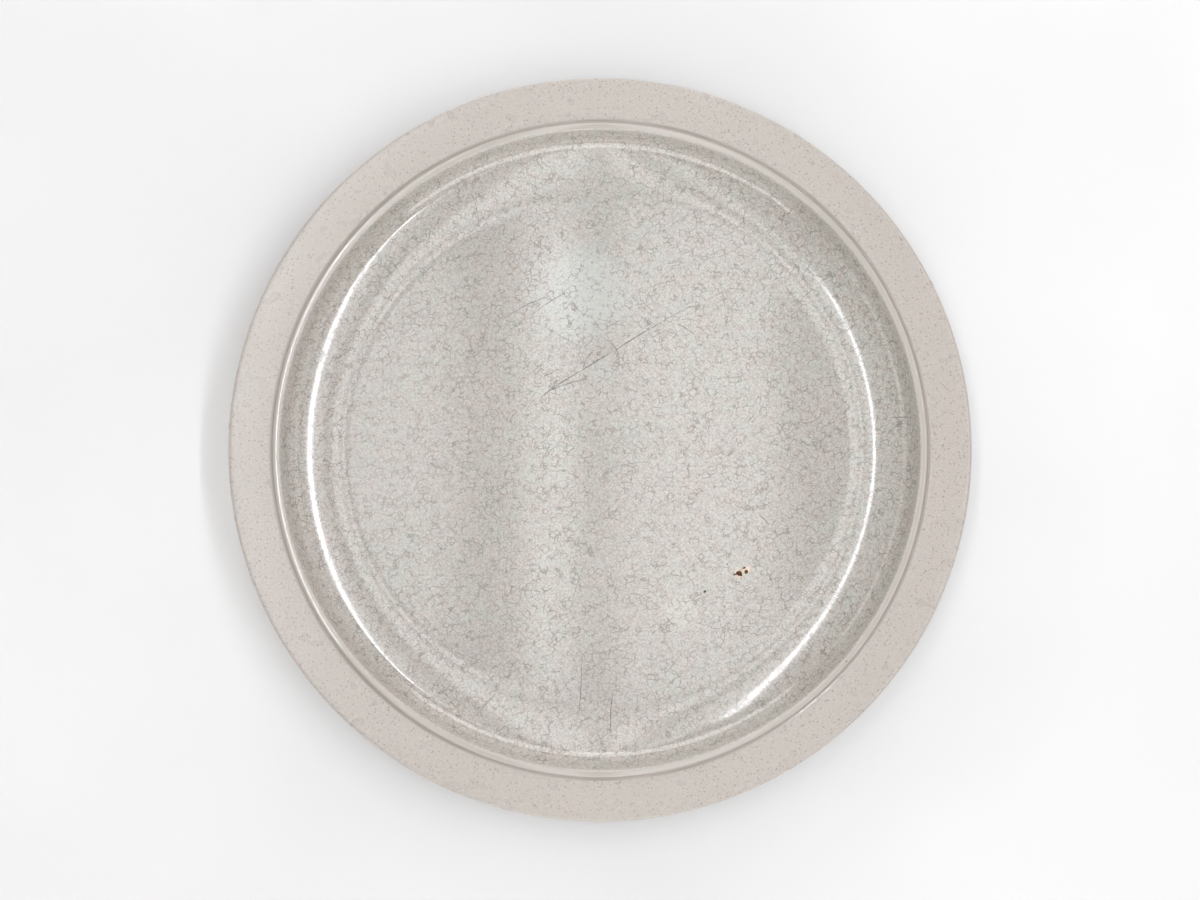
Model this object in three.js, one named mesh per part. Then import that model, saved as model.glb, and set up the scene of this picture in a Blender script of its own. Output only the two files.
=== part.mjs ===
// A round stoneware dinner plate, made in one piece: a flat foot ring, a gently dished well
// with a steep wall, a small raised bead round the top of that wall, a fine groove outside
// the bead, and a narrow, nearly level rim.
// Millimetres, +Z up, origin on the axis at the foot's resting plane.
import * as THREE from "three";

// Driving dimensions.
const PLATE_RADIUS = 135;
const RIM_WIDTH = 14.9; // the level part, outside the groove
const RIM_RISE = 0.7; // how far the rim climbs from the groove to its edge
const RIM_THICKNESS = 4.7;
const WELL_DEPTH = 14.4; // from the bead's crest down to the well's floor
const FLOOR_THICKNESS = 5.2;
const FOOT_HEIGHT = 3.8;
const FOOT_RADIUS = 91.6; // outer edge of the ring that it rests on
const FOOT_WIDTH = 6;

// The raised bead between the rim and the well, and the groove outside it.
const BEAD_WIDTH = 2.2;
const BEAD_RISE = 0.9; // above the rim's inner edge
const BEAD_ROUND = 1;
const GROOVE_WIDTH = 1.7;
const GROOVE_DEPTH = 0.4; // below the rim's inner edge
const GROOVE_ROUND = 0.4;
const RIM_SHOULDER_ROUND = 1.5;

// The well's floor is level, then bends up in arcs, each to a steeper slope in
// degrees, and the last slope is the wall's.
const WELL_ARCS = [
  { radius: 35, slope: 19.5 },
  { radius: 52, slope: 27 },
  { radius: 10, slope: 70 },
];

// The rim's edge, and the outside down to the foot.
const EDGE_TOP_ROUND = 1.5;
const EDGE_BOTTOM_ROUND = 2.2;
const UNDER_RIM_FALL = 1; // how far the rim's underside drops on its way in
const UNDER_RIM_RUN = 14;
const UNDER_RIM_ROUND = 5;
const OUTSIDE_RUN = 6.5;
const OUTSIDE_FALL = 7.5;
const BELLY_ROUND = 12;
const FOOT_DRAFT = 1.4; // how far each flank of the foot leans
const FOOT_EDGE_ROUND = 1;
const FOOT_ROOT_ROUND = 1.5;
const UNDERSIDE_DOME = 0.3;

const FACETS_ROUND_THE_AXIS = 72;
const CHORD_ERROR = 0.03; // the most that a facet of a round stands off its arc
const SAME_POINT = 0.001;

// One corner of the half section, at a radius and a height, with the radius it is rounded to.
const corner = (radius, height, round = 0) => ({ at: new THREE.Vector2(radius, height), round });

// A step of the given length along a slope.
const stepAlong = (slope, length) =>
  new THREE.Vector2(Math.cos(slope) * length, Math.sin(slope) * length);

// The well's corners: one for each arc, each arc starting where the one before it ends, and
// the wall above the last one meeting the crest's height at the bead.
function wellCorners(floor, crest, beadInner) {
  const end = new THREE.Vector2(0, floor);
  let heading = 0;
  const corners = WELL_ARCS.map(({ radius, slope }) => {
    const next = THREE.MathUtils.degToRad(slope);
    const inset = radius * Math.tan((next - heading) / 2);
    const at = end.clone().add(stepAlong(heading, inset));
    end.copy(at).add(stepAlong(next, inset));
    heading = next;
    return corner(at.x, at.y, radius);
  });
  const run = end.x + (crest - end.y) / Math.tan(heading);
  corners.forEach(({ at }) => at.setX(at.x + beadInner - run));
  return corners;
}

// The half section's corners, from the middle of the well over the rim to the middle of
// the underside.
function sectionCorners() {
  const floor = FOOT_HEIGHT + FLOOR_THICKNESS;
  const crest = floor + WELL_DEPTH;
  const rimInner = PLATE_RADIUS - RIM_WIDTH;
  const beadOuter = rimInner - GROOVE_WIDTH;
  const beadInner = beadOuter - BEAD_WIDTH;
  const rimHeight = crest - BEAD_RISE;
  const edgeTop = rimHeight + RIM_RISE;
  const edgeBottom = edgeTop - RIM_THICKNESS;
  const underInner = PLATE_RADIUS - UNDER_RIM_RUN;
  const underHeight = edgeBottom - UNDER_RIM_FALL;
  const belly = underInner - OUTSIDE_RUN;
  const footInner = FOOT_RADIUS - FOOT_WIDTH;
  return [
    corner(0, floor),
    ...wellCorners(floor, crest, beadInner),
    corner(beadInner, crest, BEAD_ROUND),
    corner(beadOuter, crest, BEAD_ROUND),
    corner(beadOuter + GROOVE_WIDTH / 2, rimHeight - GROOVE_DEPTH, GROOVE_ROUND),
    corner(rimInner, rimHeight, RIM_SHOULDER_ROUND),
    corner(PLATE_RADIUS, edgeTop, EDGE_TOP_ROUND),
    corner(PLATE_RADIUS, edgeBottom, EDGE_BOTTOM_ROUND),
    corner(underInner, underHeight, UNDER_RIM_ROUND),
    corner(belly, underHeight - OUTSIDE_FALL, BELLY_ROUND),
    corner(FOOT_RADIUS + FOOT_DRAFT, FOOT_HEIGHT, FOOT_ROOT_ROUND),
    corner(FOOT_RADIUS, 0, FOOT_EDGE_ROUND),
    corner(footInner, 0, FOOT_EDGE_ROUND),
    corner(footInner - FOOT_DRAFT, FOOT_HEIGHT, FOOT_ROOT_ROUND),
    corner(0, FOOT_HEIGHT + UNDERSIDE_DOME),
  ];
}

// The arc of the given radius that rounds the corner at `here`, tangent to both of its sides.
function roundedCorner(before, here, after, radius) {
  const back = before.clone().sub(here).normalize();
  const on = after.clone().sub(here).normalize();
  const turn = Math.PI - back.angleTo(on);
  const inset = radius * Math.tan(turn / 2);
  const start = here.clone().addScaledVector(back, inset);
  const inward = back.clone().add(on).normalize();
  const centre = here.clone().addScaledVector(inward, radius / Math.cos(turn / 2));
  const arm = start.clone().sub(centre);
  const sense = Math.sign(back.cross(on));
  const steps = Math.ceil(turn / (2 * Math.acos(1 - CHORD_ERROR / radius)));
  return Array.from({ length: steps + 1 }, (_, step) =>
    arm
      .clone()
      .rotateAround(new THREE.Vector2(), (-sense * turn * step) / steps)
      .add(centre),
  );
}

// The half section as points, each corner replaced by its arc. Where one arc ends at the
// start of the next, that point is kept once.
function sectionPoints(corners) {
  const points = corners.flatMap(({ at, round }, i) =>
    round === 0 ? [at] : roundedCorner(corners[i - 1].at, at, corners[i + 1].at, round),
  );
  return points.filter((point, i) => i === 0 || point.distanceTo(points[i - 1]) > SAME_POINT);
}

// The plate's body: the section turned once round the axis.
function plateBody() {
  const points = sectionPoints(sectionCorners()).reverse();
  const geometry = new THREE.LatheGeometry(points, FACETS_ROUND_THE_AXIS);
  geometry.rotateX(Math.PI / 2); // from the lathe's +Y axis to +Z
  const stoneware = new THREE.MeshStandardMaterial({
    color: 0xcbc3bb,
    roughness: 0.45,
    metalness: 0,
  });
  const body = new THREE.Mesh(geometry, stoneware);
  body.name = "plate";
  return body;
}

const plate = new THREE.Group();
plate.add(plateBody());

export default plate;
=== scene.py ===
"""A dirty stoneware dinner plate: a crazed, glossy well inside a raised bead, a satin speckled
rim, and the knife marks, pin spots and dried sauce that a meal left on it.

Lengths are metres and +Z is up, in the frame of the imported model.
"""

import logging
import math
from abc import ABC, abstractmethod
from collections.abc import Callable, Iterator
from dataclasses import dataclass
from enum import Enum

import bmesh
import bpy
from bpy.types import Material, NodeSocket, Object
from mathutils import Matrix, Vector


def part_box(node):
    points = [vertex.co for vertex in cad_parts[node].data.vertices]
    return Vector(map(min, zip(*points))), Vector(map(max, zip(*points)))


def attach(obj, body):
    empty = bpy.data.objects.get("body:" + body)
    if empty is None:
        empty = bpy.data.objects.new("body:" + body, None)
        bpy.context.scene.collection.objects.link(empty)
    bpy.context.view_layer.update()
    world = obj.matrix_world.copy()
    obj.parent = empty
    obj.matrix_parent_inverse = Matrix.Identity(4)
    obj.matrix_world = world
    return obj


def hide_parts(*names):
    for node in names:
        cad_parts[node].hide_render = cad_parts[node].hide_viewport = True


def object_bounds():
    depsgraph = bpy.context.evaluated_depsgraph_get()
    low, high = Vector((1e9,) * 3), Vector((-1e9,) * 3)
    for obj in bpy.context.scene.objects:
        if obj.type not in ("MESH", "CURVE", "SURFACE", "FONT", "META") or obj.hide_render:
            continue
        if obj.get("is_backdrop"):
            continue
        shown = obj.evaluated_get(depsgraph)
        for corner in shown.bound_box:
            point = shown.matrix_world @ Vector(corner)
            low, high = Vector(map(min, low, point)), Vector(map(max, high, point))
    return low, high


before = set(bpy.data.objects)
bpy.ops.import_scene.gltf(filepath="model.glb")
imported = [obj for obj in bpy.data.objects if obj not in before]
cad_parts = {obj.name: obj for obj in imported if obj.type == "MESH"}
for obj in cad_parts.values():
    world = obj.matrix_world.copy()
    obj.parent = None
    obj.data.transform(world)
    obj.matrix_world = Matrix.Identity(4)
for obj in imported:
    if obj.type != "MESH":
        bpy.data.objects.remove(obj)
CAD_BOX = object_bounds()

MM = 0.001
CAD_NODE = "plate"
BODY = "root"
SAME_POINT = 1e-6

# The sockets of a colour mix, which share their names with those of its other kinds.
MIX_AMOUNT, MIX_UNDER, MIX_OVER, MIX_RESULT = 0, 6, 7, 2

log = logging.getLogger("dinner_plate")


class Slot(Enum):
    """The record's material slots, one of which each piece names."""

    STONEWARE = "stoneware"
    FOOD = "food_residue"
    KNIFE = "knife_marks"


# Finishes ---------------------------------------------------------------------------------

Colour = tuple[float, float, float, float]
Source = NodeSocket | float | tuple[float, ...]


def tone(red: int, green: int, blue: int) -> Colour:
    """Turn a colour in everyday 0 to 255 steps into the linear colour that a shader takes.

    Args:
        red: The red step.
        green: The green step.
        blue: The blue step.

    Returns:
        The linear red, green and blue, with full opacity.
    """

    def linear(step: int) -> float:
        """Undo the display curve of one channel."""
        share = step / 255
        return share / 12.92 if share <= 0.04045 else ((share + 0.055) / 1.055) ** 2.4

    return (linear(red), linear(green), linear(blue), 1.0)


class Recipe:
    """One material's node tree, built up from the position on the piece to its shader."""

    def __init__(self, name: str) -> None:
        """Start an empty material.

        Args:
            name: The material's name.
        """
        self.material: Material = bpy.data.materials.new(name)
        self.material.use_nodes = True
        self.tree = self.material.node_tree
        self.tree.nodes.clear()
        self.position = self.add("ShaderNodeTexCoord", {}, "Object")

    def add(
        self, kind: str, inputs: dict[int | str, Source], output: int | str = 0, **settings: object
    ) -> NodeSocket:
        """Add one node.

        Args:
            kind: The node's type.
            inputs: What each input takes, a link or a plain value.
            output: The output wanted.
            **settings: The node's own properties.

        Returns:
            The output socket.
        """
        node = self.tree.nodes.new(kind)
        for setting, value in settings.items():
            setattr(node, setting, value)
        for key, source in inputs.items():
            if isinstance(source, NodeSocket):
                self.tree.links.new(source, node.inputs[key])
            else:
                node.inputs[key].default_value = source
        return node.outputs[output]

    def maths(self, operation: str, *terms: Source) -> NodeSocket:
        """Work out one number from others."""
        return self.add("ShaderNodeMath", dict(enumerate(terms)), operation=operation)

    def vectors(self, operation: str, *terms: Source, output: str = "Vector") -> NodeSocket:
        """Work out one vector, or its length, from others."""
        inputs = dict(enumerate(terms))
        return self.add("ShaderNodeVectorMath", inputs, output, operation=operation)

    def times(self, value: Source, factor: Source) -> NodeSocket:
        """Multiply two numbers."""
        return self.maths("MULTIPLY", value, factor)

    def band(
        self, value: Source, start: float, end: float, low: float = 0.0, high: float = 1.0
    ) -> NodeSocket:
        """Run smoothly from one number to another as a value crosses a band.

        Args:
            value: What is looked at.
            start: Where the change begins.
            end: Where it is done; it may be less than start.
            low: The result before the band.
            high: The result after it.

        Returns:
            The resulting number.
        """
        inputs = {"Value": value, "From Min": start, "From Max": end, "To Min": low, "To Max": high}
        return self.add("ShaderNodeMapRange", inputs, interpolation_type="SMOOTHSTEP")

    def blend(self, amount: Source, under: Source, over: Source) -> NodeSocket:
        """Lay one colour over another by an amount from 0 to 1."""
        inputs = {MIX_AMOUNT: amount, MIX_UNDER: under, MIX_OVER: over}
        return self.add("ShaderNodeMix", inputs, MIX_RESULT, data_type="RGBA")

    def darken(self, amount: Source, colour: Source, by: Source) -> NodeSocket:
        """Multiply a colour by another.

        Args:
            amount: How far, from 0 to 1.
            colour: The colour.
            by: The other colour.

        Returns:
            The darker colour.
        """
        inputs = {MIX_AMOUNT: amount, MIX_UNDER: colour, MIX_OVER: by}
        settings = {"data_type": "RGBA", "blend_type": "MULTIPLY"}
        return self.add("ShaderNodeMix", inputs, MIX_RESULT, **settings)

    def noise(
        self,
        size: float,
        at: NodeSocket | None = None,
        detail: float = 2.0,
        rough: float = 0.5,
        output: int | str = 0,
    ) -> NodeSocket:
        """Add a soft random pattern.

        Args:
            size: The length of its larger swells.
            at: Where it is read, the position if left out.
            detail: How many finer octaves ride on it.
            rough: How strong they are.
            output: The output wanted, its value if left out.

        Returns:
            The pattern.
        """
        inputs = {"Vector": at or self.position, "Scale": 1 / size, "Detail": detail, "Roughness": rough}
        return self.add("ShaderNodeTexNoise", inputs, output)

    def cells(
        self, size: float, at: NodeSocket | None = None, feature: str = "F1", output: str = "Distance"
    ) -> NodeSocket:
        """Add a pattern of random cells, whose distances count in cells.

        Args:
            size: The size of a cell.
            at: Where it is read, the position if left out.
            feature: What is measured in it.
            output: The output wanted.

        Returns:
            The pattern.
        """
        inputs = {"Vector": at or self.position, "Scale": 1 / size}
        return self.add("ShaderNodeTexVoronoi", inputs, output, feature=feature)

    def warped(self, reach: float, size: float, detail: float = 1.0) -> NodeSocket:
        """Push the position about, so that a regular pattern wanders.

        Args:
            reach: How far a point may be pushed.
            size: The length over which the push changes.
            detail: How many finer octaves ride on it.

        Returns:
            The wandering position.
        """
        push = self.vectors("SUBTRACT", self.noise(size, detail=detail, output="Color"), (0.5,) * 3)
        return self.vectors("MULTIPLY_ADD", push, (2 * reach,) * 3, self.position)

    def from_axis(self, at: NodeSocket | None = None) -> NodeSocket:
        """Measure how far a point is from the plate's axis."""
        flat = self.vectors("MULTIPLY", at or self.position, (1.0, 1.0, 0.0))
        return self.vectors("LENGTH", flat, output="Value")

    def along(self, x: float, y: float) -> NodeSocket:
        """Measure how far a point lies in a level direction."""
        direction = Vector((x, y, 0)).normalized()
        return self.vectors("DOT_PRODUCT", self.position, tuple(direction), output="Value")

    def specks(self, size: float, share: float, spread: float) -> NodeSocket:
        """Scatter soft specks, one in some of the cells.

        Args:
            size: The cell that a speck has to itself.
            share: The share of the cells with a speck, from 0 to 1.
            spread: A speck's radius as a share of its cell.

        Returns:
            1 in a speck's middle and 0 outside it.
        """
        chance = self.add("ShaderNodeSeparateXYZ", {0: self.cells(size, output="Color")}, 0)
        chosen = self.maths("LESS_THAN", chance, share)
        return self.times(self.band(self.cells(size), spread, spread * 0.35), chosen)

    def relief(self, height: NodeSocket, depth: float, under: NodeSocket | None = None) -> NodeSocket:
        """Raise or sink the surface's shading by a pattern.

        Args:
            height: The pattern, where 1 is high.
            depth: The real height of 1.
            under: A relief that this one rides on.

        Returns:
            The normal.
        """
        inputs: dict[int | str, Source] = {"Height": height, "Distance": depth, "Strength": 1.0}
        if under:
            inputs["Normal"] = under
        return self.add("ShaderNodeBump", inputs)

    def surface(self, colour: Source, roughness: Source, normal: Source, **constants: float) -> Material:
        """Close the recipe with its shader.

        Args:
            colour: The base colour.
            roughness: The roughness.
            normal: The relief.
            **constants: Further inputs that are the same all over, with _ for each space.

        Returns:
            The finished material.
        """
        inputs = {"Base Color": colour, "Roughness": roughness, "Normal": normal}
        inputs.update({key.replace("_", " "): value for key, value in constants.items()})
        shader = self.add("ShaderNodeBsdfPrincipled", inputs)
        output = self.tree.nodes.new("ShaderNodeOutputMaterial")
        self.tree.links.new(shader, output.inputs["Surface"])
        return self.material


class Finish(ABC):
    """How a surface looks."""

    @abstractmethod
    def material(self) -> Material:
        """Build the finish's material."""


@dataclass(frozen=True)
class SpeckledStoneware(Finish):
    """The satin glaze of the rim and the outside, over a body full of fine iron specks."""

    name: str = "speckled_stoneware"
    warm: Colour = tone(168, 160, 153)
    cool: Colour = tone(166, 159, 152)
    speck: Colour = tone(116, 105, 95)
    grain_shade: Colour = tone(222, 220, 218)
    cloud_size: float = 22 * MM
    dark_speck_cell: float = 5 * MM
    soft_speck_cell: float = 1.5 * MM
    grain_size: float = 0.6 * MM
    grain_depth: float = 0.01 * MM

    def tint(self, recipe: Recipe) -> NodeSocket:
        """Lay down the glaze's colour.

        Args:
            recipe: The material being built.

        Returns:
            The colour, specks included.
        """
        clouds = recipe.band(recipe.noise(self.cloud_size, detail=1), 0.2, 0.8)
        colour = recipe.blend(clouds, self.warm, self.cool)
        dark = recipe.times(recipe.specks(self.dark_speck_cell, 0.9, 0.1), 0.8)
        soft = recipe.times(recipe.specks(self.soft_speck_cell, 0.9, 0.3), 0.6)
        colour = recipe.blend(recipe.maths("MAXIMUM", dark, soft), colour, self.speck)
        grain = recipe.band(recipe.noise(self.grain_size, detail=2), 0.3, 0.7, 0.0, 0.55)
        return recipe.darken(grain, colour, self.grain_shade)

    def material(self) -> Material:
        """Build the satin, speckled material.

        Returns:
            The material.
        """
        recipe = Recipe(self.name)
        grain = recipe.noise(self.grain_size, detail=2)
        roughness = recipe.band(recipe.noise(self.cloud_size / 3, detail=1), 0.2, 0.8, 0.27, 0.3)
        relief = recipe.relief(grain, self.grain_depth)
        return recipe.surface(self.tint(recipe), roughness, relief, IOR=1.55)


@dataclass(frozen=True)
class Stain:
    """A tinted film on the glaze, where something dried or lay."""

    x: float
    y: float
    radius: float
    colour: Colour
    strength: float
    ragged: float = 0.3 * MM


@dataclass(frozen=True)
class CrazedGlaze(Finish):
    """The glossy glaze of the well: a net of hairline cracks over soft, mottled tints."""

    bead: float
    groove: float
    stains: tuple[Stain, ...] = ()
    name: str = "crazed_glaze"
    grey: Colour = tone(174, 170, 165)
    rosy: Colour = tone(177, 169, 163)
    green: Colour = tone(172, 171, 165)
    crack: Colour = tone(106, 99, 91)
    # brown tint of the wall under the bead, partly painted shade: darkened for the shade that falls on
    # the steep wall
    wall_grime_and_shade: Colour = tone(150, 138, 124)
    # painted shade along the groove, darker than the shallow groove shades itself
    painted_groove_shade: Colour = tone(144, 136, 128)
    pale_bead: Colour = tone(162, 156, 149)
    grain_shade: Colour = tone(228, 226, 223)
    patch_size: float = 26 * MM
    mottle_size: float = 5 * MM
    grain_size: float = 0.8 * MM
    crack_cell: float = 2.7 * MM
    crack_wander: float = 1.1 * MM
    crack_bend: float = 1.8 * MM
    worm_size: float = 1.5 * MM
    coarse_dirt_size: float = 3.4 * MM
    fine_dirt_size: float = 2.6 * MM
    crack_depth: float = 0.002 * MM
    # how far in from the bead the wall's brown tint and painted shade reach
    wall_grime_and_shade_reach: float = 9 * MM
    wear_size: float = 14 * MM
    ripple_size: float = 3 * MM
    ripple_depth: float = 0.003 * MM

    def cracks(self, recipe: Recipe, around: NodeSocket) -> NodeSocket:
        """Draw the net of cracks.

        Args:
            recipe: The material being built.
            around: The distance from the axis.

        Returns:
            1 in a crack and 0 beside it, and less where dirt hasn't got in.
        """
        wandering = recipe.warped(self.crack_wander, self.crack_bend, detail=3)
        coarse = recipe.cells(self.crack_cell, wandering, "DISTANCE_TO_EDGE")
        dirt = recipe.noise(self.coarse_dirt_size, detail=3)
        coarse_dirt = recipe.band(dirt, 0.44, 0.58, 0.1, 1.0)
        coarse = recipe.times(recipe.band(coarse, 0.08, 0.02), coarse_dirt)
        swells = recipe.noise(self.worm_size, detail=2)
        worms = recipe.maths("ABSOLUTE", recipe.maths("SUBTRACT", swells, 0.5))
        dirt = recipe.noise(self.fine_dirt_size, wandering, detail=2)
        fine_dirt = recipe.band(dirt, 0.4, 0.6, 0.2, 0.8)
        fine = recipe.times(recipe.band(worms, 0.04, 0.006), fine_dirt)
        in_well = recipe.band(around, self.bead, self.bead - 1 * MM)
        return recipe.times(recipe.maths("MAXIMUM", coarse, fine), in_well)

    def tint(self, recipe: Recipe, around: NodeSocket, cracks: NodeSocket) -> NodeSocket:
        """Lay down the glaze's colour.

        Args:
            recipe: The material being built.
            around: The distance from the axis.
            cracks: The net of cracks.

        Returns:
            The colour with its cracks, wall tint with painted shade, painted groove shade and stains.
        """
        patches = recipe.noise(self.patch_size, detail=3)
        rosy = recipe.maths("MULTIPLY_ADD", recipe.along(-1, -0.7), 0.9, patches)
        colour = recipe.blend(recipe.band(rosy, 0.42, 0.62), self.green, self.grey)
        mottle = recipe.band(recipe.noise(self.mottle_size, detail=4, rough=0.6), 0.42, 0.6)
        colour = recipe.blend(recipe.times(mottle, 0.7), colour, self.rosy)
        grain = recipe.band(recipe.noise(self.grain_size, detail=3, rough=0.6), 0.35, 0.65)
        colour = recipe.darken(grain, colour, self.grain_shade)
        # darker and browner towards the bead: a brown tint of the wall, with painted shade where the
        # wall turns steep under the bead
        wall_grime_and_shade = recipe.band(around, self.bead - self.wall_grime_and_shade_reach, self.bead - 1 * MM)
        colour = recipe.blend(recipe.times(wall_grime_and_shade, 0.2), colour, self.wall_grime_and_shade)
        crest = recipe.band(around, self.bead, self.bead + 0.6 * MM)
        colour = recipe.blend(crest, colour, self.pale_bead)
        # painted shade in a ring at the groove, between the bead and the rim
        inner = recipe.band(around, self.groove - 1.3 * MM, self.groove - 0.4 * MM)
        outer = recipe.band(around, self.groove + 0.8 * MM, self.groove + 0.2 * MM)
        colour = recipe.blend(recipe.times(inner, outer), colour, self.painted_groove_shade)
        for stain in self.stains:
            colour = self.stained(recipe, colour, stain)
        return recipe.blend(recipe.times(cracks, 0.65), colour, self.crack)

    @staticmethod
    def stained(recipe: Recipe, colour: NodeSocket, stain: Stain) -> NodeSocket:
        """Lay one stain over the colour, with a ragged edge.

        Args:
            recipe: The material being built.
            colour: The colour under the stain.
            stain: The stain.

        Returns:
            The stained colour.
        """
        wandering = recipe.warped(stain.ragged, 4 * stain.ragged, detail=2)
        away = recipe.vectors("SUBTRACT", wandering, (stain.x, stain.y, 0.0))
        amount = recipe.band(recipe.from_axis(away), stain.radius, stain.radius * 0.3)
        return recipe.blend(recipe.times(amount, stain.strength), colour, stain.colour)

    def material(self) -> Material:
        """Build the glossy, crazed material.

        Returns:
            The material.
        """
        recipe = Recipe(self.name)
        around = recipe.from_axis()
        cracks = self.cracks(recipe, around)
        wear = recipe.noise(self.wear_size, detail=4, rough=0.6)
        wear = recipe.band(wear, 0.42, 0.7, 0.085, 0.13)
        roughness = recipe.maths("MULTIPLY_ADD", cracks, 0.08, wear)
        ripple = recipe.relief(recipe.noise(self.ripple_size, detail=2), self.ripple_depth)
        sunk = recipe.relief(recipe.maths("SUBTRACT", 1.0, cracks), self.crack_depth, ripple)
        return recipe.surface(self.tint(recipe, around, cracks), roughness, sunk, IOR=1.6)


@dataclass(frozen=True)
class BareClay(Finish):
    """The unglazed clay that the foot stands on."""

    name: str = "bare_clay"
    clay: Colour = tone(176, 150, 124)
    worn: Colour = tone(142, 122, 104)
    grit_size: float = 0.6 * MM
    grit_depth: float = 0.06 * MM
    patch_size: float = 6 * MM

    def material(self) -> Material:
        """Build the dry, gritty material.

        Returns:
            The material.
        """
        recipe = Recipe(self.name)
        grit = recipe.noise(self.grit_size, detail=4, rough=0.7)
        colour = recipe.blend(recipe.band(grit, 0.35, 0.7), self.clay, self.worn)
        roughness = recipe.band(recipe.noise(self.patch_size), 0.3, 0.7, 0.75, 0.9)
        return recipe.surface(colour, roughness, recipe.relief(grit, self.grit_depth), IOR=1.45)


@dataclass(frozen=True)
class DriedFood(Finish):
    """Something that dried on the plate: sauce, a bit of herb or a grain of pepper."""

    name: str
    dark: Colour
    light: Colour
    roughness: float = 0.4
    lump_size: float = 0.5 * MM
    lump_depth: float = 0.05 * MM

    def material(self) -> Material:
        """Build the lumpy, half glossy material.

        Returns:
            The material.
        """
        recipe = Recipe(self.name)
        lumps = recipe.noise(self.lump_size, detail=3, rough=0.6)
        colour = recipe.blend(recipe.band(lumps, 0.42, 0.68), self.dark, self.light)
        roughness = recipe.band(lumps, 0.3, 0.7, self.roughness, self.roughness + 0.2)
        return recipe.surface(colour, roughness, recipe.relief(lumps, self.lump_depth), IOR=1.45)


@dataclass(frozen=True)
class RubbedMetal(Finish):
    """The grey line that a knife leaves on a hard glaze."""

    name: str = "rubbed_metal"
    dark: Colour = tone(98, 94, 89)
    light: Colour = tone(152, 148, 142)
    streak_size: float = 1.4 * MM
    streak_depth: float = 0.01 * MM

    def material(self) -> Material:
        """Build the streaky grey material.

        Returns:
            The material.
        """
        recipe = Recipe(self.name)
        streaks = recipe.noise(self.streak_size, detail=3, rough=0.7)
        colour = recipe.blend(recipe.band(streaks, 0.44, 0.66), self.dark, self.light)
        roughness = recipe.band(streaks, 0.3, 0.7, 0.3, 0.45)
        relief = recipe.relief(streaks, self.streak_depth)
        return recipe.surface(colour, roughness, relief, IOR=1.5)


@dataclass(frozen=True)
class FloorPaint(Finish):
    """The plain pale floor of the studio."""

    name: str = "floor_paint"
    pale: Colour = tone(208, 207, 206)
    shade: Colour = tone(203, 202, 201)
    cloud_size: float = 180 * MM
    cloud_depth: float = 0.05 * MM

    def material(self) -> Material:
        """Build the pale, even material.

        Returns:
            The material.
        """
        recipe = Recipe(self.name)
        clouds = recipe.noise(self.cloud_size, detail=2)
        colour = recipe.blend(recipe.band(clouds, 0.3, 0.7), self.pale, self.shade)
        roughness = recipe.band(clouds, 0.3, 0.7, 0.7, 0.8)
        return recipe.surface(colour, roughness, recipe.relief(clouds, self.cloud_depth), IOR=1.4)


# Pieces -----------------------------------------------------------------------------------


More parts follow.
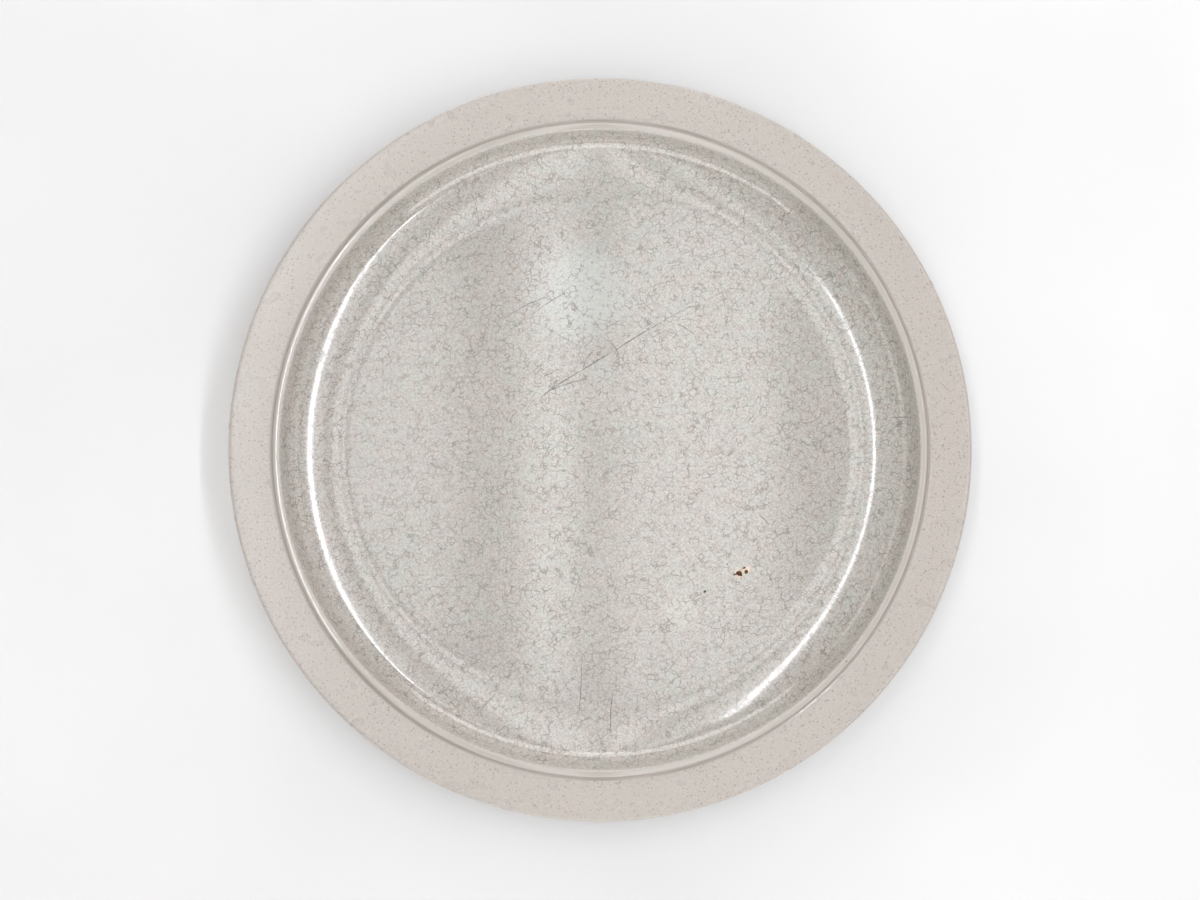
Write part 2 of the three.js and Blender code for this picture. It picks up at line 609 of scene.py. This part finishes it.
class Piece(ABC):
    """One piece of the object, with the bench work that every piece shares."""

    name: str
    slot: Slot

    @abstractmethod
    def build(self) -> Object:
        """Model the piece, dress it and return its object."""

    @staticmethod
    def clear_bench() -> None:
        """Leave edit mode and deselect everything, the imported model's nodes too."""
        if bpy.context.mode != "OBJECT":
            bpy.ops.object.mode_set(mode="OBJECT")
        bpy.ops.object.select_all(action="DESELECT")

    @classmethod
    def pick_up(cls, *works: Object) -> None:
        """Select some objects and nothing else, the first one active.

        Args:
            *works: The objects.
        """
        cls.clear_bench()
        for work in works:
            work.select_set(True)
        bpy.context.view_layer.objects.active = works[0]

    @classmethod
    def open_up(cls, work: Object, action: str = "SELECT") -> None:
        """Put one object alone in edit mode.

        Args:
            work: The object.
            action: SELECT or DESELECT, for all of its mesh.
        """
        cls.pick_up(work)
        bpy.ops.object.mode_set(mode="EDIT")
        bpy.ops.mesh.select_all(action=action)

    @staticmethod
    def pick_faces(work: Object, wanted: Callable[[Vector, Vector], bool]) -> None:
        """Select the faces of the object in edit mode that pass a test.

        Args:
            work: The object.
            wanted: The test, given a face's middle and its normal.
        """
        bpy.ops.mesh.select_mode(type="FACE")
        mesh = bmesh.from_edit_mesh(work.data)
        for face in mesh.faces:
            face.select_set(wanted(face.calc_center_median(), face.normal))
        bmesh.update_edit_mesh(work.data)

    @staticmethod
    def pick_points(work: Object, wanted: Callable[[Vector], bool]) -> None:
        """Select the points of the object in edit mode that pass a test.

        Args:
            work: The object.
            wanted: The test, given a point's place.
        """
        bpy.ops.mesh.select_mode(type="VERT")
        mesh = bmesh.from_edit_mesh(work.data)
        for point in mesh.verts:
            point.select_set(wanted(point.co))
        mesh.select_flush_mode()
        bmesh.update_edit_mesh(work.data)

    @staticmethod
    def close_up() -> None:
        """Merge the doubles of the object in edit mode and turn its faces outwards."""
        bpy.ops.mesh.select_all(action="SELECT")
        bpy.ops.mesh.remove_doubles(threshold=SAME_POINT)
        bpy.ops.mesh.normals_make_consistent(inside=False)

    @staticmethod
    def modify(work: Object, kind: str, **settings: object) -> None:
        """Add a modifier to the active object and apply it.

        Args:
            work: The object.
            kind: The modifier's type.
            **settings: Its settings.
        """
        bpy.ops.object.modifier_add(type=kind)
        modifier = work.modifiers[-1]
        for setting, value in settings.items():
            setattr(modifier, setting, value)
        bpy.ops.object.modifier_apply(modifier=modifier.name)

    def settle(self, work: Object) -> Object:
        """Name a finished object, seat it on the body and report it.

        Args:
            work: The object.

        Returns:
            The same object.
        """
        self.pick_up(work)
        bpy.ops.object.transform_apply(location=True, rotation=True, scale=True)
        bpy.ops.object.shade_smooth()
        work.name = self.name
        work.data.name = self.name
        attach(work, BODY)
        triangles = sum(len(face.vertices) - 2 for face in work.data.polygons)
        size = " x ".join(f"{side / MM:.2f}" for side in work.dimensions)
        log.info("%s: %d triangles, %s mm", self.name, triangles, size)
        return work


@dataclass(frozen=True)
class Corner:
    """A corner of the half section: its distance from the axis, its height and its round."""

    radius: float
    height: float
    round: float = 0.0

    @property
    def at(self) -> Vector:
        """The corner as a point of the section's plane."""
        return Vector((self.radius, self.height))


class OutlinePen:
    """Draws the half section as a chain of edges in the XZ plane, by extruding and spinning."""

    def __init__(self, start: Vector, fineness: float, longest: float) -> None:
        """Put a single point at the start, in edit mode.

        Args:
            start: Where the outline starts, as distance from the axis and height.
            fineness: How far an edge of a round may stand off its arc.
            longest: The longest edge of a straight stretch.
        """
        self.at = start.copy()
        self.fineness = fineness
        self.longest = longest
        bpy.ops.mesh.primitive_plane_add(size=MM, location=(0, 0, 0))
        self.work: Object = bpy.context.object
        bpy.ops.object.mode_set(mode="EDIT")
        bpy.ops.mesh.select_all(action="SELECT")
        bpy.ops.mesh.merge(type="CENTER")
        bpy.ops.mesh.select_mode(type="VERT")
        bpy.ops.transform.translate(value=(start.x, 0, start.y))

    def line_to(self, end: Vector) -> None:
        """Draw a straight stretch in even steps.

        Args:
            end: Where it ends.
        """
        way = end - self.at
        if way.length < SAME_POINT:
            return
        count = math.ceil(way.length / self.longest)
        move = {"value": (way.x / count, 0, way.y / count)}
        for _ in range(count):
            bpy.ops.mesh.extrude_vertices_move(TRANSFORM_OT_translate=move)
        self.at = end.copy()

    def arc(self, centre: Vector, turn: float) -> None:
        """Draw a round stretch.

        Args:
            centre: The centre of the arc.
            turn: How far it turns, in radians, to the left if positive.
        """
        arm = self.at - centre
        count = math.ceil(abs(turn) / (2 * math.acos(1 - self.fineness / arm.length)))
        middle = (centre.x, 0, centre.y)
        bpy.ops.mesh.spin(steps=count, angle=turn, center=middle, axis=(0, 1, 0))
        self.at = centre + Matrix.Rotation(turn, 2) @ arm

    def round_corner(self, corner: Corner, after: Corner) -> None:
        """Draw up to a corner and round it, ending on the way to the next one.

        Args:
            corner: The corner.
            after: The corner that follows it.
        """
        back = (self.at - corner.at).normalized()
        on = (after.at - corner.at).normalized()
        turn = math.pi - back.angle(on)
        self.line_to(corner.at + back * corner.round * math.tan(turn / 2))
        centre = corner.at + (back + on).normalized() * corner.round / math.cos(turn / 2)
        self.arc(centre, math.copysign(turn, on.cross(back)))


@dataclass
class PlateBody(Piece):
    """The plate itself: foot ring, well, wall, bead, groove and rim, turned in one piece."""

    radius: float
    height: float
    stains: tuple[Stain, ...]
    name: str = "dinner_plate"
    slot: Slot = Slot.STONEWARE
    rim_width: float = 14.9 * MM
    rim_rise: float = 0.7 * MM
    rim_thickness: float = 4.7 * MM
    well_depth: float = 14.4 * MM
    floor_thickness: float = 5.2 * MM
    foot_radius: float = 91.6 * MM
    foot_width: float = 6 * MM
    bead_width: float = 2.2 * MM
    bead_rise: float = 0.9 * MM
    bead_round: float = 1 * MM
    groove_width: float = 1.7 * MM
    groove_depth: float = 0.4 * MM
    groove_round: float = 0.4 * MM
    shoulder_round: float = 1.5 * MM
    well_arcs: tuple[tuple[float, float], ...] = ((35 * MM, 19.5), (52 * MM, 27.0), (10 * MM, 70.0))
    edge_top_round: float = 1.5 * MM
    edge_bottom_round: float = 2.2 * MM
    under_rim_fall: float = 1 * MM
    under_rim_run: float = 14 * MM
    under_rim_round: float = 5 * MM
    outside_run: float = 6.5 * MM
    outside_fall: float = 7.5 * MM
    belly_round: float = 12 * MM
    foot_draft: float = 1.4 * MM
    foot_edge_round: float = 1 * MM
    foot_root_round: float = 1.5 * MM
    underside_dome: float = 0.3 * MM
    turns: int = 288
    fineness: float = 0.004 * MM
    longest: float = 9 * MM

    @property
    def floor(self) -> float:
        """The height of the well's floor."""
        return self.height - self.well_depth

    @property
    def rim_inner(self) -> float:
        """The radius of the rim's inner edge."""
        return self.radius - self.rim_width

    @property
    def groove(self) -> float:
        """The radius of the groove's bottom."""
        return self.rim_inner - self.groove_width / 2

    @property
    def bead_outer(self) -> float:
        """The radius of the bead's outer corner."""
        return self.rim_inner - self.groove_width

    @property
    def bead_inner(self) -> float:
        """The radius of the bead's inner corner, at the top of the wall."""
        return self.bead_outer - self.bead_width

    def well_corners(self) -> Iterator[Corner]:
        """Bend the floor up to the wall in arcs, each to a steeper slope.

        Yields:
            One corner for each arc, from the floor outwards.
        """
        corners: list[tuple[Vector, float]] = []
        end, heading = Vector((0, self.floor)), 0.0
        for bend, slope in self.well_arcs:
            steeper = math.radians(slope)
            inset = bend * math.tan((steeper - heading) / 2)
            at = end + Vector((math.cos(heading), math.sin(heading))) * inset
            end = at + Vector((math.cos(steeper), math.sin(steeper))) * inset
            heading = steeper
            corners.append((at, bend))
        run = end.x + (self.height - end.y) / math.tan(heading)
        for at, bend in corners:
            yield Corner(at.x + self.bead_inner - run, at.y, bend)

    def section(self) -> list[Corner]:
        """List the half section's corners.

        Returns:
            The corners, from the middle of the well over the rim to the middle underneath.
        """
        rim_height = self.height - self.bead_rise
        edge_top = rim_height + self.rim_rise
        edge_bottom = edge_top - self.rim_thickness
        under_inner = self.radius - self.under_rim_run
        under_height = edge_bottom - self.under_rim_fall
        belly = under_inner - self.outside_run
        foot_height = self.floor - self.floor_thickness
        foot_inner = self.foot_radius - self.foot_width
        return [
            Corner(0, self.floor),
            *self.well_corners(),
            Corner(self.bead_inner, self.height, self.bead_round),
            Corner(self.bead_outer, self.height, self.bead_round),
            Corner(self.groove, rim_height - self.groove_depth, self.groove_round),
            Corner(self.rim_inner, rim_height, self.shoulder_round),
            Corner(self.radius, edge_top, self.edge_top_round),
            Corner(self.radius, edge_bottom, self.edge_bottom_round),
            Corner(under_inner, under_height, self.under_rim_round),
            Corner(belly, under_height - self.outside_fall, self.belly_round),
            Corner(self.foot_radius + self.foot_draft, foot_height, self.foot_root_round),
            Corner(self.foot_radius, 0, self.foot_edge_round),
            Corner(foot_inner, 0, self.foot_edge_round),
            Corner(foot_inner - self.foot_draft, foot_height, self.foot_root_round),
            Corner(0, foot_height + self.underside_dome),
        ]

    def dress(self, work: Object) -> None:
        """Give the rim and the outside, the well and the foot their finishes.

        Args:
            work: The turned plate.
        """

        def in_well(middle: Vector, normal: Vector) -> bool:
            """Tell whether a face lies inside the rim, on top."""
            return normal.z > 0 and middle.xy.length < self.rim_inner

        def on_foot(middle: Vector, normal: Vector) -> bool:
            """Tell whether a face is the foot's flat bottom."""
            return middle.z < self.foot_edge_round / 3 and normal.z < 0

        glaze = CrazedGlaze(self.bead_inner, self.groove, self.stains)
        for finish in (SpeckledStoneware(), glaze, BareClay()):
            bpy.ops.object.material_slot_add()
            work.active_material = finish.material()
        for index, wanted in ((1, in_well), (2, on_foot)):
            self.open_up(work, "DESELECT")
            self.pick_faces(work, wanted)
            work.active_material_index = index
            bpy.ops.object.material_slot_assign()

    def build(self) -> Object:
        """Turn the plate from its half section.

        Returns:
            The plate.
        """
        self.clear_bench()
        corners = self.section()
        pen = OutlinePen(corners[0].at, self.fineness, self.longest)
        for corner, after in zip(corners[1:-1], corners[2:]):
            pen.round_corner(corner, after)
        pen.line_to(corners[-1].at)
        bpy.ops.mesh.select_all(action="SELECT")
        bpy.ops.mesh.spin(steps=self.turns, angle=math.tau, center=(0, 0, 0), axis=(0, 0, 1))
        self.close_up()
        self.dress(pen.work)
        self.settle(pen.work)
        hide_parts(CAD_NODE)
        return pen.work


@dataclass(frozen=True)
class Blob:
    """One dried blob, in millimetres and degrees: its place, its sizes and how it lies."""

    x: float
    y: float
    length: float
    width: float
    height: float
    turn: float = 0.0


@dataclass
class DriedBlobs(Piece):
    """All the dried blobs of one kind, each a lumpy dome with its flat side on the glaze."""

    name: str
    finish: Finish
    blobs: tuple[Blob, ...]
    seed: int
    plate: Object
    slot: Slot = Slot.FOOD
    fineness: int = 4
    lump: float = 0.14

    def ground(self, blob: Blob) -> Vector:
        """Find the place on the glaze under a blob, by dropping a line onto the plate.

        Args:
            blob: The blob.

        Returns:
            The place.
        """
        above = Vector((blob.x * MM, blob.y * MM, 1.0))
        _, place, _, _ = self.plate.ray_cast(above, Vector((0, 0, -1)))
        return place

    def dome(self, blob: Blob, seed: int) -> Object:
        """Model one blob.

        Args:
            blob: The blob.
            seed: The seed of its lumps.

        Returns:
            Its object.
        """
        at = self.ground(blob)
        bpy.ops.mesh.primitive_ico_sphere_add(
            subdivisions=self.fineness,
            radius=MM / 2,
            location=at,
            rotation=(0, 0, math.radians(blob.turn)),
            scale=(blob.length, blob.width, 2 * blob.height),
        )
        work = bpy.context.object
        self.open_up(work)
        offset = self.lump * blob.height * MM
        bpy.ops.transform.vertex_random(offset=offset, normal=0.6, seed=seed)
        bpy.ops.mesh.vertices_smooth(factor=0.5, repeat=2)
        bpy.ops.mesh.bisect(plane_co=at, plane_no=(0, 0, 1), clear_inner=True, use_fill=True)
        self.close_up()
        return work

    def build(self) -> Object:
        """Model the blobs one after another and join them.

        Returns:
            The joined blobs.
        """
        self.clear_bench()
        works: list[Object] = []
        for count, blob in enumerate(self.blobs):
            works.append(self.dome(blob, self.seed + count))
            self.clear_bench()
        self.pick_up(*works)
        bpy.ops.object.join()
        joined = works[0]
        joined.data.materials.append(self.finish.material())
        return self.settle(joined)


@dataclass(frozen=True)
class Stroke:
    """One line rubbed on the glaze, in millimetres: its two ends, its bow and its width."""

    from_x: float
    from_y: float
    to_x: float
    to_y: float
    bow: float = 0.0
    width: float = 0.2


# A shallow arc turns, in radians, eight times its bow over its length.
BEND_OF_A_BOW = 8


@dataclass
class KnifeMarks(Piece):
    """The grey lines that knives rubbed on the glaze, each a hair thick and laid on its curve."""

    strokes: tuple[Stroke, ...]
    plate: Object
    above: float
    name: str = "knife_marks"
    slot: Slot = Slot.KNIFE
    thickness: float = 0.02 * MM
    lengths: int = 16
    tips: tuple[tuple[float, float], ...] = ((0.3, 0.85), (0.42, 0.6), (0.49, 0.15))

    def strip(self) -> Object:
        """Model the strip that every mark starts from.

        Returns:
            A flat strip, one long and one wide, drawn out to a point at both ends.
        """
        bpy.ops.mesh.primitive_grid_add(x_subdivisions=self.lengths, y_subdivisions=1, size=1)
        work = bpy.context.object
        self.open_up(work, "DESELECT")
        for share, width in self.tips:
            self.pick_points(work, lambda point, share=share: abs(point.x) > share)
            bpy.ops.transform.resize(value=(1, width, 1), center_override=(0, 0, 0))
        return work

    def mark(self, strip: Object, stroke: Stroke) -> Object:
        """Copy the strip and give the copy a stroke's size, bow and place.

        Args:
            strip: The strip.
            stroke: The stroke.

        Returns:
            The mark, level above the plate.
        """
        self.pick_up(strip)
        bpy.ops.object.duplicate()
        work = bpy.context.object
        start = Vector((stroke.from_x, stroke.from_y, 0)) * MM
        way = Vector((stroke.to_x, stroke.to_y, 0)) * MM - start
        self.open_up(work)
        size = (way.length, stroke.width * MM, 1)
        bpy.ops.transform.resize(value=size, center_override=(0, 0, 0))
        self.pick_up(work)
        bend = -BEND_OF_A_BOW * stroke.bow * MM / way.length
        self.modify(work, "SIMPLE_DEFORM", deform_method="BEND", deform_axis="Z", angle=bend)
        turn = math.atan2(way.y, way.x)
        side = Vector((-math.sin(turn), math.cos(turn), 0))
        work.rotation_euler.z = turn
        work.location = start + way / 2 + side * stroke.bow * MM
        work.location.z = self.above
        bpy.ops.object.transform_apply(location=True, rotation=True, scale=True)
        return work

    def build(self) -> Object:
        """Model the marks, lay them on the glaze and give them their thickness.

        Returns:
            The joined marks.
        """
        self.clear_bench()
        strip = self.strip()
        marks = [self.mark(strip, stroke) for stroke in self.strokes]
        self.pick_up(strip)
        bpy.ops.object.delete()
        self.pick_up(*marks)
        bpy.ops.object.join()
        work = marks[0]
        self.modify(
            work,
            "SHRINKWRAP",
            target=self.plate,
            wrap_method="PROJECT",
            use_project_z=True,
            use_negative_direction=True,
            use_positive_direction=False,
        )
        self.modify(work, "SOLIDIFY", thickness=self.thickness, offset=1.0)
        work.data.materials.append(RubbedMetal().material())
        return self.settle(work)


# Studio -----------------------------------------------------------------------------------


class Facing(Enum):
    """Which way a light faces: down, or turned in to the plate from the side or the end."""

    DOWN = "down"
    FROM_SIDE = "from the side"
    FROM_END = "from the end"


@dataclass(frozen=True)
class Softbox:
    """One flat light, its width in X and its length in Y before it is turned."""

    name: str
    x: float
    y: float
    width: float
    length: float
    radiance: float
    facing: Facing = Facing.DOWN
    height: float = 1.2
    colour: tuple[float, float, float] = (1.0, 1.0, 1.0)

    def turn(self) -> tuple[float, float, float]:
        """Work out how the light is turned.

        Returns:
            Its turns about X, Y and Z, in radians.
        """
        if self.facing is Facing.FROM_SIDE:
            return (0, math.atan2(self.x, self.height), 0)
        if self.facing is Facing.FROM_END:
            return (-math.atan2(self.y, self.height), 0, 0)
        return (0, 0, 0)

    def hang(self) -> Object:
        """Hang the light in its place.

        Returns:
            The light's object.
        """
        lamp = bpy.data.lights.new(self.name, "AREA")
        lamp.shape = "RECTANGLE"
        lamp.size = self.width
        lamp.size_y = self.length
        lamp.energy = self.radiance * self.width * self.length * math.pi
        lamp.color = self.colour
        hung = bpy.data.objects.new(self.name, lamp)
        bpy.context.scene.collection.objects.link(hung)
        hung.location = (self.x, self.y, self.height)
        hung.rotation_euler = self.turn()
        hung.visible_camera = False
        return hung


COOL_WHITE = (0.93, 0.95, 1.0)
CEILING_LENGTH = 8.0
FILL_HEIGHT = 0.7


@dataclass
class Studio:
    """The pale floor, the soft lights and the camera over the plate."""

    floor_radius: float = 4.0
    floor_corners: int = 96
    camera_height: float = 506 * MM
    lens: float = 40.0
    ambient: float = 0.2
    ambient_colour: Colour = (1.0, 0.99, 0.975, 1.0)
    lights: tuple[Softbox, ...] = (
        Softbox("near_strip", -0.38, 0.265, 0.055, 1.1, 20.0, Facing.FROM_SIDE, colour=COOL_WHITE),
        Softbox("far_strip", 0.755, 0.0, 0.07, 2.0, 25.0, Facing.FROM_SIDE, colour=COOL_WHITE),
        Softbox("ceiling_left", -0.247, 0.0, 0.124, CEILING_LENGTH, 2.1),
        Softbox("ceiling_middle", -0.063, 0.0, 0.064, CEILING_LENGTH, 3.5),
        Softbox("ceiling_right", 0.124, 0.0, 0.204, CEILING_LENGTH, 2.6),
        Softbox("ceiling_far_right", 0.58, 0.0, 0.2, CEILING_LENGTH, 1.4),
        Softbox("end_fill_near", 0.0, -2.5, 4.0, 1.0, 3.6, Facing.FROM_END, FILL_HEIGHT),
        Softbox("end_fill_far", 0.0, 2.5, 4.0, 1.0, 3.6, Facing.FROM_END, FILL_HEIGHT),
        Softbox("side_fill_left", -2.5, 0.0, 1.0, 4.0, 1.7, Facing.FROM_SIDE, FILL_HEIGHT),
        Softbox("side_fill_right", 2.5, 0.0, 1.0, 4.0, 0.8, Facing.FROM_SIDE, FILL_HEIGHT),
    )

    def lay_floor(self) -> Object:
        """Lay the floor under the foot.

        Returns:
            The floor.
        """
        Piece.clear_bench()
        bpy.ops.mesh.primitive_circle_add(
            vertices=self.floor_corners, radius=self.floor_radius, fill_type="NGON"
        )
        floor = bpy.context.object
        floor.name = "studio_floor"
        floor.data.materials.append(FloorPaint().material())
        floor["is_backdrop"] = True
        return floor

    def light(self) -> None:
        """Hang the lights and fill the room with an even glow."""
        for softbox in self.lights:
            softbox.hang()
        world = bpy.data.worlds.new("studio_glow")
        world.use_nodes = True
        glow = world.node_tree.nodes["Background"]
        glow.inputs["Color"].default_value = self.ambient_colour
        glow.inputs["Strength"].default_value = self.ambient
        bpy.context.scene.world = world

    def aim_camera(self) -> Object:
        """Hold the camera level over the middle of the plate, looking straight down.

        Returns:
            The camera.
        """
        camera = bpy.data.cameras.new("camera")
        camera.lens = self.lens
        held = bpy.data.objects.new("camera", camera)
        bpy.context.scene.collection.objects.link(held)
        held.location = (0, 0, self.camera_height)
        bpy.context.scene.camera = held
        return held

    def build(self) -> None:
        """Set up the whole studio."""
        self.lay_floor()
        self.light()
        self.aim_camera()
        bpy.context.scene.view_settings.view_transform = "Standard"
        log.info("studio: %d lights", len(self.lights))


# The meal's traces -------------------------------------------------------------------------

SAUCE_BLOBS = (
    Blob(51.8, -46.0, 2.3, 1.8, 0.7, turn=-10),
    Blob(52.6, -46.7, 0.9, 0.7, 0.4, turn=-40),
)
HERB_BLOBS = (
    Blob(54.5, -45.4, 1.6, 1.4, 0.5, turn=60),
    Blob(53.8, -43.9, 1.2, 0.7, 0.2, turn=25),
    Blob(50.2, -46.4, 1.1, 0.8, 0.3, turn=15),
)
PEPPER_BLOBS = (
    Blob(39.1, -52.7, 1.0, 0.9, 0.5),
    Blob(63.6, -48.2, 0.6, 0.5, 0.2, turn=30),
    Blob(47.5, -42.6, 0.55, 0.5, 0.2),
    Blob(33.9, -54.2, 0.6, 0.45, 0.2, turn=70),
    Blob(89.2, -76.5, 0.6, 0.5, 0.25, turn=50),
)
STAINS = (
    Stain(51.7 * MM, -46.0 * MM, 2.3 * MM, tone(222, 190, 158), 0.75),
    Stain(54.5 * MM, -44.9 * MM, 2.1 * MM, tone(222, 194, 162), 0.75),
    Stain(-8 * MM, 58 * MM, 24 * MM, tone(181, 185, 181), 0.5, 7 * MM),
    Stain(1 * MM, 29 * MM, 7 * MM, tone(172, 172, 167), 0.5, 2 * MM),
    Stain(30 * MM, -60 * MM, 9 * MM, tone(184, 182, 172), 0.4, 2 * MM),
)
STROKES = (
    Stroke(-23, 19, -7, 29.5, 0.4, 0.35),
    Stroke(-7, 29.5, 5.5, 37, 0.2, 0.41),
    Stroke(5.5, 37, 22, 47, 0.3, 0.38),
    Stroke(21, 46.5, 35, 54, 0.3, 0.22),
    Stroke(-19, 22, -4.6, 26.5, 0.5, 0.27),
    Stroke(-23, 26.3, -17, 29, 0.2, 0.27),
    Stroke(-6.5, 29.5, -2.3, 36.8, 1.0, 0.3),
    Stroke(1.5, 41.5, 7.4, 33.8, 1.2, 0.3),
    Stroke(-37, 48, -20, 57, 0.8, 0.27),
    Stroke(-27, 49, -12, 59, 0.6, 0.22),
    Stroke(15, 50, 18.6, 46.6, 0.3, 0.24),
    Stroke(20.5, 44.3, 25.4, 41.3, 0.2, 0.22),
    Stroke(28.4, 47.3, 35.5, 42.8, 0.3, 0.27),
    Stroke(35.9, 46.6, 41, 42.8, -0.2, 0.22),
    Stroke(38, 24.5, 41, 19.6, 0.2, 0.27),
    Stroke(-50, 71.7, -42, 73.2, 0.3, 0.24),
    Stroke(-48, 96, -45, 84, 0.5, 0.22),
    Stroke(2, -7.4, 19, -4.4, 0.7, 0.22),
    Stroke(-7, -79, -8, -99, 0.4, 0.27),
    Stroke(5, -90, 4, -105, -0.5, 0.32),
    Stroke(-10, -56, -5, -41, 0.5, 0.19),
    Stroke(-37, -88, -47, -99, 0.4, 0.22),
    Stroke(79, 3, 81, -0.6, 0.1, 0.32),
    Stroke(59, -24, 63, -28, 0.3, 0.32),
    Stroke(22.8, -35.5, 26.5, -38, 0.2, 0.22),
    Stroke(24.6, -62.5, 27.3, -65.5, 0.2, 0.35),
    Stroke(107.6, 12, 114.5, 12, 0.1, 0.27),
)


def write_sizes() -> None:
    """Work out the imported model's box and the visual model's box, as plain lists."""
    boxes = {"cad": CAD_BOX, "visual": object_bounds()}
    plain = {name: [list(corner) for corner in box] for name, box in boxes.items()}


def main() -> None:
    """Build the plate, what is on it and the studio, in that order."""
    logging.basicConfig(level=logging.INFO, format="%(name)s: %(message)s")
    low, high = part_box(CAD_NODE)
    body = PlateBody(radius=(high.x - low.x) / 2, height=high.z, stains=STAINS)
    plate = body.build()
    sauce = DriedFood("dried_sauce", tone(46, 17, 3), tone(98, 42, 10), roughness=0.4)
    herb = DriedFood("dried_herb", tone(58, 40, 24), tone(112, 92, 58), roughness=0.45)
    pepper = DriedFood("pepper_grain", tone(52, 48, 46), tone(98, 92, 86), roughness=0.5)
    DriedBlobs("dried_sauce", sauce, SAUCE_BLOBS, seed=11, plate=plate).build()
    DriedBlobs("dried_herb", herb, HERB_BLOBS, seed=23, plate=plate).build()
    DriedBlobs("pepper_grains", pepper, PEPPER_BLOBS, seed=37, plate=plate).build()
    KnifeMarks(STROKES, plate, above=body.height + 1 * MM).build()
    Studio().build()


if __name__ == "__main__":
    main()
    write_sizes()
